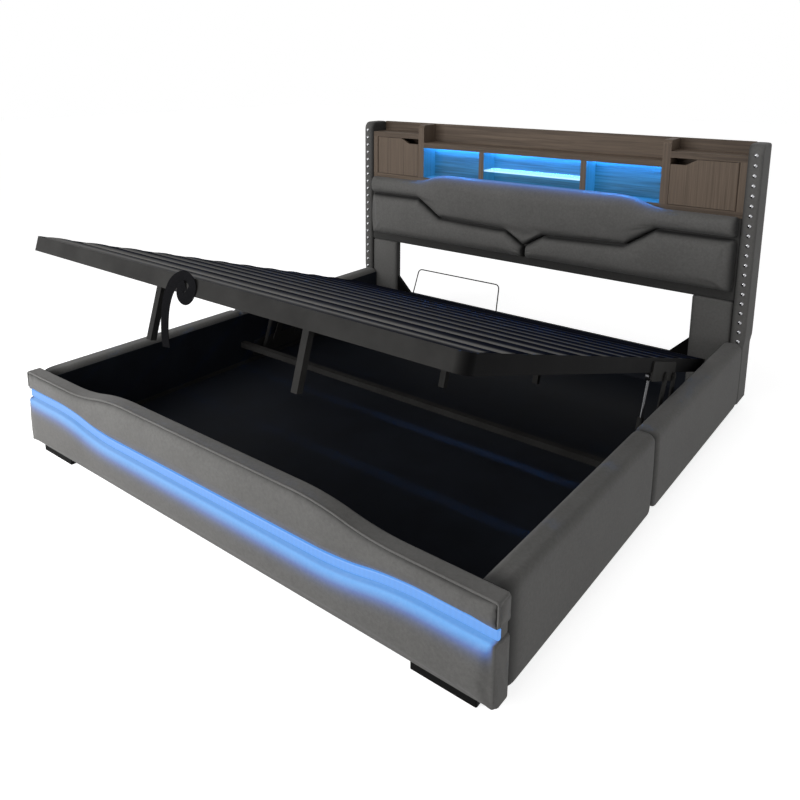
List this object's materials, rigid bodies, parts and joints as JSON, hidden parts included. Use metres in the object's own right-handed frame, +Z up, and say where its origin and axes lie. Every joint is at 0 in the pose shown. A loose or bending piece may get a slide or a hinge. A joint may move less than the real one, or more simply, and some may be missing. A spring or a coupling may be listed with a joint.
{
  "type": "upholstered storage bed",
  "caption": "Upholstered bed with a wave-topped lit footboard, a shelf headboard with two small doors, and a slatted platform that lifts on arms and gas struts over a storage well.",
  "frame": {"origin": "on the floor under the middle of the bed's plan", "axes": "+X to the right seen from the foot end, +Y from footboard to headboard, +Z up"},
  "size_m": [2.12, 2.228, 1.183],
  "materials": {
    "grey_upholstery": "matt grey leather-like cover with a soft sheen",
    "walnut_board": "grey-brown wood grain, matt",
    "black_steel": "black powder coat",
    "bright_steel": "plain bright steel",
    "stud_chrome": "polished round studs",
    "black_board": "black covered board",
    "black_plastic": "black moulded blocks",
    "black_webbing": "woven black webbing",
    "light_strip": "blue-lit diffuser",
    "shelf_glass": "clear toughened glass"
  },
  "bodies": {
    "bed_frame": {"footboard_core": "grey_upholstery", "footboard_upper_pad": "grey_upholstery", "footboard_lower_pad": "grey_upholstery", "footboard_light_strip": "light_strip", "footboard_liner": "black_board", "front_feet": "black_plastic", "left_front_rail": "grey_upholstery", "left_rear_rail": "grey_upholstery", "right_front_rail": "grey_upholstery", "right_rear_rail": "grey_upholstery", "left_rail_liner": "black_board", "right_rail_liner": "black_board", "mid_cross_bar": "black_steel", "floor_ledgers": "black_steel", "front_floor_panel": "black_board", "rear_floor_panel": "black_board", "floor_bearers": "black_board", "left_wing": "grey_upholstery", "right_wing": "grey_upholstery", "left_wing_studs": "stud_chrome", "right_wing_studs": "stud_chrome", "headboard_panel": "grey_upholstery", "headboard_upper_pad": "grey_upholstery", "headboard_lower_left_pad": "grey_upholstery", "headboard_lower_right_pad": "grey_upholstery", "left_headboard_leg": "grey_upholstery", "right_headboard_leg": "grey_upholstery", "head_cross_panel": "black_board", "corner_gussets": "black_steel", "shelf_back_board": "walnut_board", "shelf_floor_board": "walnut_board", "tall_dividers": "walnut_board", "short_dividers": "walnut_board", "centre_top_board": "walnut_board", "cabinet_sides": "walnut_board", "left_cabinet_top": "walnut_board", "right_cabinet_top": "walnut_board", "glass_shelf": "shelf_glass", "shelf_light_strips": "light_strip", "door_hinge_pins": "bright_steel", "left_lift_plate": "black_steel", "right_lift_plate": "black_steel"},
    "front_arms": {"left_front_arm": "black_steel", "right_front_arm": "black_steel"},
    "rear_arms": {"left_rear_arm": "black_steel", "right_rear_arm": "black_steel"},
    "cylinders": {"strut_cylinders": "black_steel"},
    "rods": {"strut_rods": "bright_steel"},
    "platform": {"platform_foot_rail": "black_steel", "platform_left_rail": "black_steel", "platform_right_rail": "black_steel", "platform_head_rail": "black_steel", "platform_beams": "black_steel", "slats": "black_steel", "support_legs": "black_steel", "lift_brackets": "black_steel", "pull_strap": "black_webbing", "mattress_bail": "bright_steel"},
    "left_door_leaf": {"left_door": "walnut_board"},
    "right_door_leaf": {"right_door": "walnut_board"}
  },
  "joints": [
    {"name": "platform_lift", "type": "hinge", "parent": "bed_frame", "child": "front_arms", "pos_m": [0, 0.13013, 0.12], "axis": [1, 0, 0], "range_deg": [-39.86, 0]},
    {"name": "platform_on_arms", "type": "hinge", "parent": "front_arms", "child": "platform", "pos_m": [0, 0.26293, 0.38201], "axis": [1, 0, 0], "range_deg": [0, 57.69]},
    {"name": "rear_arm_swing", "type": "hinge", "parent": "bed_frame", "child": "rear_arms", "pos_m": [0, 0.28689, 0.12], "axis": [1, 0, 0], "range_deg": [-44.63, 0]},
    {"name": "strut_swing", "type": "hinge", "parent": "bed_frame", "child": "cylinders", "pos_m": [0, 0.026, 0.09], "axis": [1, 0, 0], "range_deg": [-39.94, 0]},
    {"name": "strut_stroke", "type": "slide", "parent": "cylinders", "child": "rods", "axis": [0, 0.3497, 0.9369], "range_m": [-0.0578, 0]},
    {"name": "left_door_hinge", "type": "hinge", "parent": "bed_frame", "child": "left_door_leaf", "pos_m": [-0.962, 0.995, 0.9975], "axis": [0, 0, -1], "range_deg": [0, 90]},
    {"name": "right_door_hinge", "type": "hinge", "parent": "bed_frame", "child": "right_door_leaf", "pos_m": [0.962, 0.995, 0.9975], "axis": [0, 0, 1], "range_deg": [0, 90]}
  ],
  "couplings": [
    {"joint": "platform_on_arms", "follows": "platform_lift", "ratio": -1.4398},
    {"joint": "rear_arm_swing", "follows": "platform_lift", "ratio": 1.112},
    {"joint": "strut_swing", "follows": "platform_lift", "ratio": 0.99439},
    {"joint": "strut_stroke", "follows": "platform_lift", "m_per_rad": 0.082365}
  ]
}
